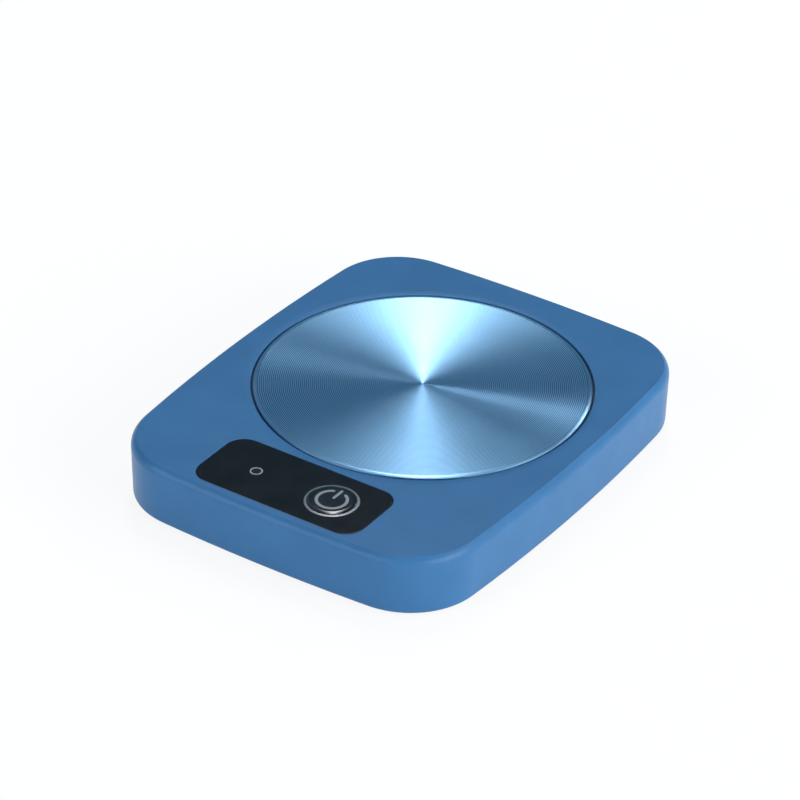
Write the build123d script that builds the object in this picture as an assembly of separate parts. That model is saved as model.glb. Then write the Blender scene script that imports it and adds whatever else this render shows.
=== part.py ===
from build123d import *

import os
from math import pi, radians, sqrt, tan

# Electric mug warmer: a flat pillow-shaped plastic case with a round heating plate and a push button.
# Millimetres. The origin is on the surface that the feet stand on, below the centre of the outline.
# +X is to the right, -Y is the front, where the control panel is, and +Z is up.

# Case
case_width = 110.0
case_depth = 134.2
case_height = 17.4
corner_radius = 21.5
side_radius = 580.0  # the four sides bulge slightly
draft_inset = 0.45  # the mould's draft makes the case this much smaller all round at the bottom
wall = 2.2
top_skin = 2.0
edge_inset = 1.5  # the flat top ends this far inside the outline
edge_drop = 1.2
edge_blend = 3.0
bottom_round = 1.3
small_round = 0.3

# Feet and base
foot_proud = 1.0
foot_length = 14.0
foot_width = 7.0
foot_recess = 0.6
foot_gap = 0.1
foot_round = 0.35
foot_x = 36.0
foot_y = 45.0
base_recess = 0.4
base_floor = 2.0
base_gap = 0.15
rib_height = 2.0
rib_width = 1.2
vent_count = 9
vent_pitch = 6.0
vent_length = 16.0
vent_width = 1.8
plain_recess_width = 56.0
plain_recess_length = 20.0
plain_recess_y = -26.0
plain_recess_depth = 0.3
plain_recess_corner = 2.0

case_bottom = foot_proud
case_top = case_bottom + case_height
skin_under = case_top - top_skin
base_under = case_bottom + base_recess
base_top = base_under + base_floor

# Case screws, driven up from the underside into posts of the top cover
case_screw_x = 42.0
case_screw_y = 55.0
case_post_radius = 3.2
case_cup_radius = 4.2
case_cup_height = 2.0
case_head_radius = 2.6
case_head_height = 1.6
case_head_seat = base_under + 2.2
case_shank_radius = 1.25
case_screw_reach = 14.0
screw_clearance = 0.25
thread_gap = 0.02

# Heating plate: a turned aluminium dish, open below, with a flange that is clamped under the cover
plate_y = 8.9
opening_radius = 46.7
lip_width = 1.4  # the top dips gently towards the opening
lip_drop = 0.17
lip_blend = 16.0
lip_round = 0.2
plate_radius = 46.05
plate_proud = 0.1
plate_skin = 1.8
plate_wall = 2.0
rim_radius = 45.05  # outside it the plate slopes down to its edge
rim_drop = 0.32
rim_blend = 2.0
rim_round = 0.15
flange_radius = 49.4
flange_thickness = 1.2
centre_boss_radius = 4.0
plate_top = case_top + plate_proud
plate_under = plate_top - plate_skin

# Seal between the flange and the cover, with an upstand in the gap round the plate
seal_thickness = 0.8
seal_radius = 49.6
seal_upstand_in = plate_radius + 0.05
seal_upstand_out = opening_radius - 0.05
seal_upstand_top = case_top - 1.1
flange_top = skin_under - seal_thickness
flange_under = flange_top - flange_thickness

# Heater stack inside the dish
heater_thickness = 0.8
heater_radius = 43.8
heater_hole_radius = 4.5
heater_under = plate_under - heater_thickness
clamp_thickness = 0.8
clamp_radius = 49.5
clamp_hole_radius = 7.0
clamp_neck = 9.0
clamp_under = flange_under - clamp_thickness
clamp_screw_circle = 54.0
clamp_ear_radius = 3.6
clamp_post_radius = 3.0
clamp_head_radius = 2.4
clamp_head_height = 1.5
clamp_shank_radius = 1.1
clamp_screw_reach = 3.8

# Terminal tabs of the heater
tab_width = 3.0
tab_thickness = 0.6
cutout_tab_depth = 1.6

# Thermal cutout, pressed against the heater through a window, with a strap under it
cutout_x = 20.0
cutout_width = 6.4
cutout_length = 10.0
cutout_height = 4.0
cutout_corner = 0.8
cutout_round = 0.5
cutout_under = heater_under - cutout_height
window_gap = 0.6
window_corner = 1.0
strap_thickness = 0.5
strap_width = 4.0
strap_foot = 4.0
strap_overlap = 1.2

# Temperature sensor on the centre boss
lug_radius = 3.4
lug_thickness = 0.5
lug_width = 3.0
barrel_radius = 1.3
barrel_length = 8.0
barrel_z = flange_under - barrel_radius - 0.1
barrel_start = 3.0
slot_width = 4.4
slot_reach = 13.5
sensor_head_radius = 2.75
sensor_head_height = 1.8
sensor_shank_radius = 1.25
sensor_hole_depth = 3.1

# Lead slot under the heater
lead_slot_x = -12.0
lead_slot_y = -16.0
lead_slot_width = 8.0
lead_slot_depth = 6.0

# Control panel, let into a pocket of the cover
panel_width = 51.8
panel_depth = 23.0
panel_corner = 5.5
panel_y = -51.7
control_y = -51.9  # the button and the indicator
panel_thickness = 1.0
panel_edge_round = 0.2
adhesive_thickness = 0.2
adhesive_inset = 0.5
pocket_gap = 0.1
pocket_round = 0.2
pocket_floor = case_top - panel_thickness - adhesive_thickness
pad_width = 58.0
pad_under = 15.9
pad_front = 1.1 - case_depth / 2
pad_back = -38.0
panel_under = case_top - panel_thickness

# Push button
button_x = 12.1
ring_outer = 7.35
ring_inner = 6.75
ring_proud = 0.15  # its top slopes outwards to the panel
ring_crest = 6.87
ring_edge_proud = 0.03
ring_flange_radius = 8.4
ring_flange_height = 0.6
ring_hole_radius = 8.6
ring_round = 0.05
cap_radius = 6.65
cap_crown = case_top + 0.42
cap_edge = case_top + 0.10
shoulder_radius = 5.85  # outside it the top slopes down to the edge
shoulder_blend = 3.0
cap_edge_round = 0.15
cap_flange_radius = 7.9
cap_flange_height = 0.7
cap_under = panel_under - ring_flange_height - cap_flange_height - 0.1
cap_hollow_radius = 5.7
cap_hollow_top = 17.3
stem_radius = 1.8
stem_under = 13.6

# Power symbol, moulded into the top of the button
symbol_radius = 4.05
symbol_line = 0.85
symbol_half_gap = 28.0
bar_width = 0.75
bar_low = 0.5
bar_high = 5.0
symbol_depth = 0.15
symbol_proud = 0.03

# Indicator: trim ring, light pipe, and a lamp on the board below it
indicator_x = -11.95
indicator_ring_outer = 1.76
indicator_ring_inner = 1.33
indicator_proud = 0.05
pipe_radius = 1.28
pipe_flange_radius = 2.2
pipe_flange_height = 0.9
pipe_gap = 1.0
lamp_width = 1.8
lamp_length = 3.0
lamp_base = 0.5
lamp_height = 0.9
lamp_lens_width = 1.4
lamp_lens_length = 2.0
lamp_corner = 0.3

# Control board
board_width = 54.0
board_depth = 22.0
board_y = -52.5
board_thickness = 1.6
board_corner = 1.5
board_top = 9.5
board_under = board_top - board_thickness
board_screw_x = 23.5
board_screw_front = -60.8
board_screw_back = -44.4
board_post_radius = 2.4
board_shank_radius = 0.95
board_head_radius = 1.9
board_head_height = 1.4
board_screw_reach = 6.0

# Snap switch on the control board
switch_size = 6.2
switch_corner = 0.4
switch_base_height = 2.7
switch_cover_thickness = 0.3
switch_well_radius = 2.6
switch_well_depth = 2.1
plunger_radius = 1.75
plunger_flange_radius = 2.4
plunger_flange_height = 0.6
plunger_nub_radius = 0.8
running_gap = 0.05
snap_radius = 2.3
snap_rise = 0.85
snap_thickness = 0.12
terminal_reach = 1.4
terminal_width = 0.7
terminal_spread = 2.2
foot_metal = 0.3  # solder feet of the parts on the board
cover_tab_width = 2.4
cover_tab_gap = 0.6
switch_base_top = board_top + switch_base_height
switch_floor = switch_base_top - switch_well_depth
switch_cover_top = switch_base_top + switch_cover_thickness
plunger_top = stem_under - running_gap
plunger_flange_top = switch_base_top - running_gap
plunger_nub_under = switch_floor + snap_rise + running_gap

# Parts on the control board
chip_y = -54.5
chip_width = 4.0
chip_length = 10.0
chip_height = 1.6
chip_stand = 0.15
chip_span = 6.2
chip_pin_pairs = 8
chip_pin_pitch = 1.27
chip_pin_width = 0.42
transistor_x = -19.5
transistor_y = -53.0
transistor_width = 6.6
transistor_depth = 6.1
transistor_height = 2.3
tab_span = 5.2
tab_reach = 1.2
leg_offset = 2.3
leg_reach = 2.4
leg_width = 0.8
capacitor_x = 21.5
capacitor_width = 6.6
capacitor_base = 1.0
capacitor_corner = 0.6
capacitor_radius = 3.1
capacitor_height = 5.6
capacitor_round = 0.5
small_part_columns = (-9.0, -6.0, 6.0)
small_part_rows = (-60.5, -58.0, -49.0)
small_part_length = 1.6
small_part_width = 0.8
small_part_height = 0.6

# Connectors at the back edge of the board, and their crimp plugs
connector_y = -44.0
connector_depth = 5.0
connector_height = 3.8
connector_wall = 0.7
plug_reach = 5.8
plug_inside = 3.6
plug_gap = 0.1
plug_stop_low = 0.3
plug_stop_drop = 0.2
lead_entry_z = board_top + connector_height / 2
lead_entry_y = connector_y + connector_depth / 2 + plug_reach
heater_connector_x = -16.0
sensor_connector_x = 0.0
power_connector_x = 16.0
wide_connector = 7.6
narrow_connector = 5.6

# Leads
heavy_lead_radius = 0.65
light_lead_radius = 0.45
heavy_lead_pitch = 2.4
light_lead_pitch = 1.6
cutout_entry_z = clamp_under - heavy_lead_radius - 0.2

# Power socket in the back wall: a reversible low-voltage receptacle on its own board
socket_z = 8.5
socket_width = 8.94
socket_height = 3.26
socket_metal = 0.3
socket_length = 7.3
socket_mouth_y = case_depth / 2 - 1.0
tongue_width = 6.7
tongue_thickness = 0.7
tongue_setback = 0.8
socket_base_length = 1.4
socket_hole_width = 9.6
socket_hole_height = 3.9
plug_recess_width = 12.8
plug_recess_height = 7.2
plug_recess_floor = case_depth / 2 - 0.9
socket_board_width = 22.0
socket_board_length = 14.5
socket_board_back = case_depth / 2 - 3.0
socket_board_front = socket_board_back - socket_board_length
socket_board_thickness = 1.2
socket_board_corner = 1.0
socket_board_top = socket_z - socket_height / 2
socket_board_under = socket_board_top - socket_board_thickness
socket_post_x = 8.5
socket_post_y = socket_board_back - 9.5
socket_post_radius = 2.6
socket_screw_reach = 2.6


def outline(inset):
    """The case's plan outline, moved inwards by inset: four shallow side arcs joined by corner arcs."""
    half_width = case_width / 2 - inset
    half_depth = case_depth / 2 - inset
    side = side_radius - inset
    corner = corner_radius - inset
    side_centre = Vector(half_width - side, 0)
    end_centre = Vector(0, half_depth - side)
    span = end_centre - side_centre
    reach = side - corner
    lift = sqrt(reach**2 - (span.length / 2) ** 2)
    across = Vector(-span.Y, span.X).normalized()
    corner_centre = (side_centre + end_centre) * 0.5 + across * lift
    side_end = side_centre + (corner_centre - side_centre).normalized() * side
    end_start = end_centre + (corner_centre - end_centre).normalized() * side
    diagonal = ((side_end + end_start) * 0.5 - corner_centre).normalized()
    corner_middle = corner_centre + diagonal * corner
    arcs = []
    for turn in (0, 180):
        for mirrored in (1, -1):
            places = [side_end, corner_middle, end_start]
            flipped = [Vector(p.X, p.Y * mirrored) for p in places]
            arcs.append(ThreePointArc(*[p.rotate(Axis.Z, turn) for p in flipped]))
        right = [Vector(side_end.X, -side_end.Y), Vector(half_width, 0), side_end]
        back = [end_start, Vector(0, half_depth), Vector(-end_start.X, end_start.Y)]
        for places in (right, back):
            arcs.append(ThreePointArc(*[p.rotate(Axis.Z, turn) for p in places]))
    return make_face(Wire(arcs))


def prism(face, bottom, top):
    """A flat face stood up between two heights."""
    return extrude(Pos(0, 0, bottom) * face, top - bottom)


def post(radius, bottom, top, x=0.0, y=0.0):
    """An upright round post, or the hole for one."""
    return Pos(x, y, (bottom + top) / 2) * Cylinder(radius, top - bottom)


def slab(width, depth, bottom, top, x=0.0, y=0.0, corner=0.0):
    """A flat block, with rounded upright edges where corner is given."""
    face = RectangleRounded(width, depth, corner) if corner else Rectangle(width, depth)
    return prism(Pos(x, y) * face, bottom, top)


def turned(*section):
    """A solid turned about Z from the (radius, height) corners of its half section."""
    edge = Polyline(*[(radius, 0, height) for radius, height in section], close=True)
    return revolve(make_face(edge), Axis.Z)


def screw(x, y, seat, head_radius, head_height, shank_radius, reach, upward=True):
    """A pan-head screw: the head's flat side is at seat and the shank goes up, or down."""
    drive = Rectangle(head_radius * 1.1, head_radius * 0.28)
    cross = extrude(drive + Rot(0, 0, 90) * drive, head_height * 0.5)
    head = Pos(0, 0, -head_height / 2) * Cylinder(head_radius, head_height)
    head = fillet(head.edges().sort_by(Axis.Z)[0], head_height * 0.4)
    body = head + post(shank_radius, 0, reach) - Pos(0, 0, -head_height) * cross
    turn = Rot(0, 0, 0) if upward else Rot(180, 0, 0)
    return Pos(x, y, seat) * turn * body


def four_corners(x, y):
    """The places at plus and minus x and y."""
    return [(side * x, end * y) for side in (-1, 1) for end in (-1, 1)]


def board_screw_places():
    """The four screws of the control board."""
    return [(side * board_screw_x, y) for side in (-1, 1) for y in (board_screw_front, board_screw_back)]


def clamp_screw_places():
    """The four screws that pull the clamp plate up, on the diagonals of the heating plate."""
    reach = clamp_screw_circle / sqrt(2)
    return [(x, y + plate_y) for x, y in four_corners(reach, reach)]


def top_cover():
    """One-piece moulded cover: skin, walls, plate opening, panel pocket, posts and socket hole."""
    bottom = Pos(0, 0, case_bottom) * outline(draft_inset)
    top = Pos(0, 0, case_top) * outline(0)
    shell = loft([bottom, top], ruled=True)
    rim = shell.faces().sort_by(Axis.Z)[-1]
    shell = chamfer(rim.edges(), edge_inset, edge_drop, reference=rim)
    knee = case_top - edge_drop
    shell = fillet(shell.edges().filter_by_position(Axis.Z, knee - 0.1, knee + 0.1), edge_blend)
    crease = shell.faces().sort_by(Axis.Z)[-1].edges()
    shell = fillet(crease, small_round)
    shell = fillet(shell.faces().sort_by(Axis.Z)[0].edges(), bottom_round)
    shell -= prism(outline(wall), case_bottom - 1, skin_under)
    shell += slab(pad_width, pad_back - pad_front, pad_under, skin_under, 0, (pad_front + pad_back) / 2)
    for x, y in four_corners(case_screw_x, case_screw_y):
        shell += post(case_post_radius, base_top + case_cup_height, skin_under, x, y)
        shell -= post(case_shank_radius + thread_gap, case_bottom, case_head_seat + case_screw_reach, x, y)
    for x, y in clamp_screw_places():
        shell += post(clamp_post_radius, flange_under, skin_under, x, y)
        shell -= post(clamp_shank_radius + thread_gap, case_bottom, clamp_under + clamp_screw_reach, x, y)
    for x, y in board_screw_places():
        shell += post(board_post_radius, board_top, pad_under, x, y)
        shell -= post(board_shank_radius + thread_gap, case_bottom, board_under + board_screw_reach, x, y)
    shell -= post(seal_radius + thread_gap, flange_under - 0.1, skin_under, 0, plate_y)
    shell -= post(opening_radius, skin_under - 1, case_top + 1, 0, plate_y)
    deck = shell.faces().filter_by(Plane.XY).sort_by(Axis.Z)[-1]
    shell = chamfer(top_circle(shell, opening_radius), lip_width, lip_drop, reference=deck)
    shell = fillet(top_circle(shell, opening_radius + lip_width), lip_blend)
    shell = fillet(top_circle(shell, opening_radius), lip_round)
    pocket_width = panel_width + 2 * pocket_gap
    pocket_depth = panel_depth + 2 * pocket_gap
    shell -= slab(pocket_width, pocket_depth, pocket_floor, case_top + 1, 0, panel_y, panel_corner)
    level = shell.edges().filter_by_position(Axis.Z, case_top - 0.01, case_top + 0.01)
    front = panel_y - pocket_depth / 2 - 0.1
    shell = fillet(level.filter_by_position(Axis.Y, front, front + pocket_depth + 0.2), pocket_round)
    shell -= post(ring_hole_radius, pad_under - 1, case_top, button_x, control_y)
    shell -= post(pipe_radius + running_gap, pad_under - 1, case_top, indicator_x, control_y)
    shell -= socket_cut(socket_hole_width, socket_hole_height, socket_board_back)
    shell -= socket_cut(plug_recess_width, plug_recess_height, plug_recess_floor)
    return shell


def top_circle(solid, radius):
    """The highest round edge of this radius."""
    circles = [e for e in solid.edges().filter_by(GeomType.CIRCLE) if abs(e.radius - radius) < 0.01]
    return ShapeList(circles).sort_by(Axis.Z)[-1]


def socket_cut(width, height, start):
    """An opening with round ends through the back wall, from the depth start outwards."""
    face = Plane.XZ * SlotOverall(width, height)
    return Pos(0, start, socket_z) * extrude(face, case_depth / 2 + 1 - start, dir=(0, 1, 0))


def bottom_cover():
    """Moulded base that closes the case from below, with wells, vents, posts and foot recesses."""
    inset = wall + base_gap
    cover = prism(outline(inset), base_under, base_top)
    rib = prism(outline(inset) - outline(inset + rib_width), base_top, base_top + rib_height)
    cover += rib
    for x, y in four_corners(case_screw_x, case_screw_y):
        cover += post(case_cup_radius, base_top, base_top + case_cup_height, x, y)
        cover -= post(case_head_radius + screw_clearance, base_under - 1, case_head_seat, x, y)
        cover -= post(case_shank_radius + screw_clearance, base_under, base_top + case_cup_height, x, y)
    for x, y in four_corners(foot_x, foot_y):
        cover -= prism(Pos(x, y) * SlotOverall(foot_length + 2 * foot_gap, foot_width + 2 * foot_gap),
                       base_under - 1, base_under + foot_recess)
    for side in (-1, 1):
        cover += post(socket_post_radius, base_top, socket_board_under, side * socket_post_x, socket_post_y)
        cover -= post(board_shank_radius + thread_gap, socket_board_under - socket_screw_reach,
                      socket_board_under, side * socket_post_x, socket_post_y)
    for step in range(vent_count):
        x = (step - (vent_count - 1) / 2) * vent_pitch
        cut = Pos(x, plate_y) * SlotOverall(vent_length, vent_width, rotation=90)
        cover -= prism(cut, base_under - 1, base_top + 1)
    recess_top = base_under + plain_recess_depth
    cover -= slab(plain_recess_width, plain_recess_length, base_under - 1, recess_top, 0, plain_recess_y,
                  plain_recess_corner)
    return cover


def heating_plate():
    """Turned aluminium dish: a flat top with a sloping rim, a short wall, a flange and a centre boss."""
    inner = plate_radius - plate_wall
    dish = turned(
        (0, plate_top),
        (rim_radius, plate_top),
        (plate_radius, plate_top - rim_drop),
        (plate_radius, flange_top),
        (flange_radius, flange_top),
        (flange_radius, flange_under),
        (inner, flange_under),
        (inner, plate_under),
        (centre_boss_radius, plate_under),
        (centre_boss_radius, flange_under),
        (0, flange_under),
    )
    dish = fillet(top_circle(dish, rim_radius), rim_blend)
    dish = fillet(top_circle(dish, plate_radius), rim_round)
    dish -= post(sensor_shank_radius + thread_gap, flange_under - 1, flange_under + sensor_hole_depth)
    return Pos(0, plate_y) * dish


def plate_seal():
    """Moulded silicone ring between the flange and the cover, with an upstand in the gap."""
    return Pos(0, plate_y) * turned(
        (seal_upstand_in, flange_top),
        (seal_radius, flange_top),
        (seal_radius, skin_under),
        (seal_upstand_out, skin_under),
        (seal_upstand_out, seal_upstand_top),
        (seal_upstand_in, seal_upstand_top),
    )


def heater_element():
    """Mica disc with an etched foil track, and two welded terminal tabs on its underside."""
    disc = post(heater_radius, heater_under, plate_under) - post(heater_hole_radius, 0, case_top)
    disc = Pos(0, plate_y) * disc
    tab_y = plate_y + (cutout_length + cutout_tab_depth) / 2
    tab_under = heater_under - tab_thickness
    disc += slab(tab_width, cutout_tab_depth, flange_under, heater_under, cutout_x, tab_y)
    disc += slab(tab_width, tab_width, tab_under, heater_under, lead_slot_x, lead_slot_y)
    return disc


def stack_windows(bottom, top):
    """The cut-outs that the insulation pad and the clamp plate share."""
    width = cutout_width + 2 * window_gap
    length = cutout_length + 2 * window_gap + cutout_tab_depth
    middle = plate_y + cutout_tab_depth / 2
    window = slab(width, length, bottom, top, cutout_x, middle, window_corner)
    slot = slab(lead_slot_width, lead_slot_depth, bottom, top, lead_slot_x, lead_slot_y, window_corner)
    return window + slot


def insulation_pad():
    """Die-cut ceramic-fibre pad that presses the heater against the plate."""
    pad = post(heater_radius, flange_under, heater_under) - post(heater_hole_radius, 0, case_top)
    return Pos(0, plate_y) * pad - stack_windows(0, case_top)


def clamp_plate():
    """Pressed steel plate with four ears, pulled up against the flange and the pad by its screws."""
    disc = post(clamp_radius, clamp_under, flange_under, 0, plate_y)
    for x, y in clamp_screw_places():
        disc += post(clamp_ear_radius, clamp_under, flange_under, x, y)
        neck = Rot(0, 0, 45 if x * (y - plate_y) > 0 else -45) * Rectangle(clamp_neck, 2 * clamp_ear_radius)
        middle = Vector(x, y - plate_y) * (1 - clamp_neck / 2 / clamp_screw_circle)
        disc += prism(Pos(middle.X, middle.Y + plate_y) * neck, clamp_under, flange_under)
        disc -= post(clamp_shank_radius + screw_clearance, 0, case_top, x, y)
    disc -= post(clamp_hole_radius, 0, case_top, 0, plate_y)
    disc -= slab(slot_width, slot_reach, 0, case_top, 0, plate_y - slot_reach / 2, window_corner)
    return disc - stack_windows(0, case_top)


def thermal_cutout():
    """Bimetal cutout in a flat metal case."""
    body = slab(cutout_width, cutout_length, cutout_under, heater_under, cutout_x, plate_y, cutout_corner)
    return fillet(body.faces().sort_by(Axis.Z)[0].edges(), cutout_round)


def cutout_clip():
    """Spring-steel strap under the cutout, spot-welded to the clamp plate at both ends."""
    span = cutout_width + 2 * (window_gap + strap_overlap)
    band = slab(span, strap_width, cutout_under - strap_thickness, cutout_under, cutout_x, plate_y)
    for side in (-1, 1):
        leg_x = cutout_x + side * (span - strap_thickness) / 2
        band += slab(strap_thickness, strap_width, cutout_under, clamp_under, leg_x, plate_y)
        foot_middle = cutout_x + side * (span + strap_foot) / 2
        foot_under = clamp_under - strap_thickness
        band += slab(strap_foot, strap_width, foot_under, clamp_under, foot_middle, plate_y)
    return band


def temperature_sensor():
    """Ring lug with a crimped barrel that holds the thermistor bead."""
    lug_under = flange_under - lug_thickness
    lug = post(lug_radius, lug_under, flange_under)
    neck_length = lug_radius + barrel_start
    lug += slab(lug_width, neck_length, lug_under, flange_under, 0, -neck_length / 2)
    barrel = Rot(90, 0, 0) * Cylinder(barrel_radius, barrel_length)
    lug += Pos(0, -barrel_start - barrel_length / 2, barrel_z) * barrel
    lug -= post(sensor_shank_radius + screw_clearance, 0, case_top)
    return Pos(0, plate_y) * lug


def control_panel():
    """Glossy black acrylic panel with holes for the button ring and the indicator."""
    panel = slab(panel_width, panel_depth, panel_under, case_top, 0, panel_y, panel_corner)
    panel = fillet(panel.faces().sort_by(Axis.Z)[-1].edges(), panel_edge_round)
    panel -= post(ring_outer + running_gap, 0, case_top + 1, button_x, control_y)
    return panel - post(indicator_ring_outer + thread_gap, 0, case_top + 1, indicator_x, control_y)


def panel_adhesive():
    """Die-cut adhesive film under the panel."""
    width = panel_width - 2 * adhesive_inset
    depth = panel_depth - 2 * adhesive_inset
    film = slab(width, depth, pocket_floor, panel_under, 0, panel_y, panel_corner - adhesive_inset)
    film -= post(ring_hole_radius, 0, case_top, button_x, control_y)
    return film - post(indicator_ring_outer, 0, case_top, indicator_x, control_y)


def button_ring():
    """Plated metal ring round the button, with a flange that is bonded under the panel."""
    flange_bottom = panel_under - ring_flange_height
    ring = turned(
        (ring_inner, flange_bottom),
        (ring_flange_radius, flange_bottom),
        (ring_flange_radius, panel_under),
        (ring_outer, panel_under),
        (ring_outer, case_top + ring_edge_proud),
        (ring_crest, case_top + ring_proud),
        (ring_inner, case_top + ring_proud),
    )
    ring = fillet(top_circle(ring, ring_crest), ring_round)
    return Pos(button_x, control_y) * ring


def symbol_face():
    """The generic power symbol: a broken ring and a bar."""
    start = 90 + symbol_half_gap
    ring = SlotArc(CenterArc((0, 0), symbol_radius, start, 360 - 2 * symbol_half_gap), symbol_line)
    length = bar_high - bar_low
    return ring + Pos(0, (bar_high + bar_low) / 2) * SlotOverall(length, bar_width, rotation=90)


def power_symbol():
    """The symbol as a second moulding shot, almost level with the face of the button."""
    shape = prism(symbol_face(), cap_crown - symbol_depth, cap_crown + symbol_proud)
    return Pos(button_x, control_y) * shape


def power_button():
    """Push button: a hollow flat cap with a sloping shoulder, a flange below the ring and a stem."""
    cap = turned(
        (0, cap_under),
        (cap_radius, cap_under),
        (cap_radius, cap_edge),
        (shoulder_radius, cap_crown),
        (0, cap_crown),
    )
    cap = fillet(top_circle(cap, shoulder_radius), shoulder_blend)
    cap = fillet(top_circle(cap, cap_radius), cap_edge_round)
    cap += post(cap_flange_radius, cap_under, cap_under + cap_flange_height)
    cap -= post(cap_hollow_radius, cap_under - 1, cap_hollow_top)
    cap += post(stem_radius, stem_under, cap_hollow_top)
    return Pos(button_x, control_y) * cap - power_symbol()


def indicator_ring():
    """Plated trim ring round the indicator window."""
    ring = post(indicator_ring_outer, panel_under, case_top + indicator_proud)
    ring -= post(indicator_ring_inner, 0, case_top + 1)
    return Pos(indicator_x, control_y) * ring


def indicator_lens():
    """Smoked light pipe from the lamp on the board to the window."""
    pipe = post(pipe_radius, board_top + pipe_gap, case_top)
    pipe += post(pipe_flange_radius, pad_under - pipe_flange_height, pad_under)
    return Pos(indicator_x, control_y) * pipe


def indicator_led():
    """Surface-mounted lamp under the light pipe."""
    base_level = board_top + lamp_base
    top_level = board_top + lamp_height
    lamp = slab(lamp_width, lamp_length, board_top, base_level, indicator_x, control_y)
    lamp += slab(lamp_lens_width, lamp_lens_length, base_level, top_level, indicator_x, control_y,
                 lamp_corner)
    return lamp


def control_board():
    """Glass-fibre control board that hangs from four posts of the cover."""
    board = slab(board_width, board_depth, board_under, board_top, 0, board_y, board_corner)
    for x, y in board_screw_places():
        board -= post(board_shank_radius + screw_clearance, 0, case_top, x, y)
    return board


def switch_base():
    """Moulded body of the snap switch, with a round well for the dome and the plunger."""
    body = slab(switch_size, switch_size, board_top, switch_base_top, 0, 0, switch_corner)
    return Pos(button_x, control_y) * (body - post(switch_well_radius, switch_floor, case_top))


def switch_terminals():
    """Four soldered feet of the switch."""
    feet = []
    for x, y in four_corners((switch_size + terminal_reach) / 2, terminal_spread):
        foot = slab(terminal_reach, terminal_width, board_top, board_top + foot_metal, x, y)
        feet.append(Pos(button_x, control_y) * foot)
    return Compound(feet)


def switch_dome():
    """Snap dome: a thin spring-steel cap that clicks flat and pushes the button back up."""
    radius = (snap_radius**2 + snap_rise**2) / (2 * snap_rise)
    shell = Pos(0, 0, snap_rise - radius) * (Sphere(radius) - Sphere(radius - snap_thickness))
    shell &= post(snap_radius + 1, 0, snap_rise + 1)
    return Pos(button_x, control_y, switch_floor) * shell


def switch_plunger():
    """Round plunger of the switch, held in by its flange."""
    plunger = post(plunger_radius, plunger_flange_top - plunger_flange_height, plunger_top)
    plunger = fillet(plunger.faces().sort_by(Axis.Z)[-1].edges(), 0.15)
    plunger += post(plunger_flange_radius, plunger_flange_top - plunger_flange_height, plunger_flange_top)
    plunger += post(plunger_nub_radius, plunger_nub_under, plunger_flange_top)
    return Pos(button_x, control_y) * plunger


def switch_cover():
    """Folded steel cover of the switch."""
    cover = slab(switch_size, switch_size, switch_base_top, switch_cover_top, 0, 0, switch_corner)
    for side in (-1, 1):
        tab_x = side * (switch_size + switch_cover_thickness) / 2
        cover += slab(switch_cover_thickness, cover_tab_width, board_top + cover_tab_gap, switch_cover_top,
                      tab_x)
    cover -= post(plunger_radius + 0.1, 0, case_top)
    return Pos(button_x, control_y) * cover


def controller_chip():
    """Sixteen-pin controller in a flat package."""
    chip = slab(chip_width, chip_length, board_top + chip_stand, board_top + chip_height, 0, chip_y)
    for step in range(chip_pin_pairs):
        y = chip_y + (step - (chip_pin_pairs - 1) / 2) * chip_pin_pitch
        chip += slab(chip_span, chip_pin_width, board_top, board_top + foot_metal, 0, y)
    return chip


def power_transistor():
    """Power transistor that switches the heater, soldered flat by its tab."""
    body = slab(transistor_width, transistor_depth, board_top, board_top + transistor_height,
                transistor_x, transistor_y)
    tab_y = transistor_y + (transistor_depth + tab_reach) / 2
    body += slab(tab_span, tab_reach, board_top, board_top + foot_metal, transistor_x, tab_y)
    leg_y = transistor_y - (transistor_depth + leg_reach) / 2
    for side in (-1, 1):
        leg_x = transistor_x + side * leg_offset
        body += slab(leg_width, leg_reach, board_top, board_top + foot_metal, leg_x, leg_y)
    return body


def bulk_capacitor():
    """Electrolytic capacitor: an aluminium can on a square foot."""
    base_level = board_top + capacitor_base
    base = slab(capacitor_width, capacitor_width, board_top, base_level, capacitor_x, board_y,
                capacitor_corner)
    can = post(capacitor_radius, base_level, board_top + capacitor_height, capacitor_x, board_y)
    return base + fillet(can.faces().sort_by(Axis.Z)[-1].edges(), capacitor_round)


def small_chip_parts():
    """Resistors and ceramic capacitors."""
    top = board_top + small_part_height
    places = [(x, y) for x in small_part_columns for y in small_part_rows]
    return Compound([slab(small_part_length, small_part_width, board_top, top, x, y) for x, y in places])


def connector(x, width):
    """Board socket of a lead, open at the back."""
    body = slab(width, connector_depth, board_top, board_top + connector_height, x, connector_y)
    hollow_width = width - 2 * connector_wall
    mouth = slab(hollow_width, plug_inside, board_top + connector_wall, board_top + connector_height
                 - connector_wall, x, connector_y + (connector_depth - plug_inside) / 2)
    return body - mouth


def plug(x, width):
    """Crimp housing in a board socket, with the leads in its back."""
    plug_width = width - 2 * connector_wall - 2 * plug_gap
    mouth_y = connector_y + connector_depth / 2
    top = board_top + connector_height
    length = plug_inside + plug_reach
    body = slab(plug_width, length, board_top + connector_wall, top - connector_wall - plug_gap, x,
                mouth_y - plug_inside + length / 2)
    stop = slab(plug_width, plug_reach, board_top + plug_stop_low, top - plug_stop_drop, x,
                mouth_y + plug_reach / 2)
    return body + stop


def socket_shell():
    """Stamped steel shell of the power socket, with round ends, open at the mouth."""
    start = socket_mouth_y - socket_length
    outer = Plane.XZ * SlotOverall(socket_width, socket_height)
    inner = Plane.XZ * SlotOverall(socket_width - 2 * socket_metal, socket_height - 2 * socket_metal)
    return Pos(0, start, socket_z) * extrude(outer - inner, socket_length, dir=(0, 1, 0))


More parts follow.
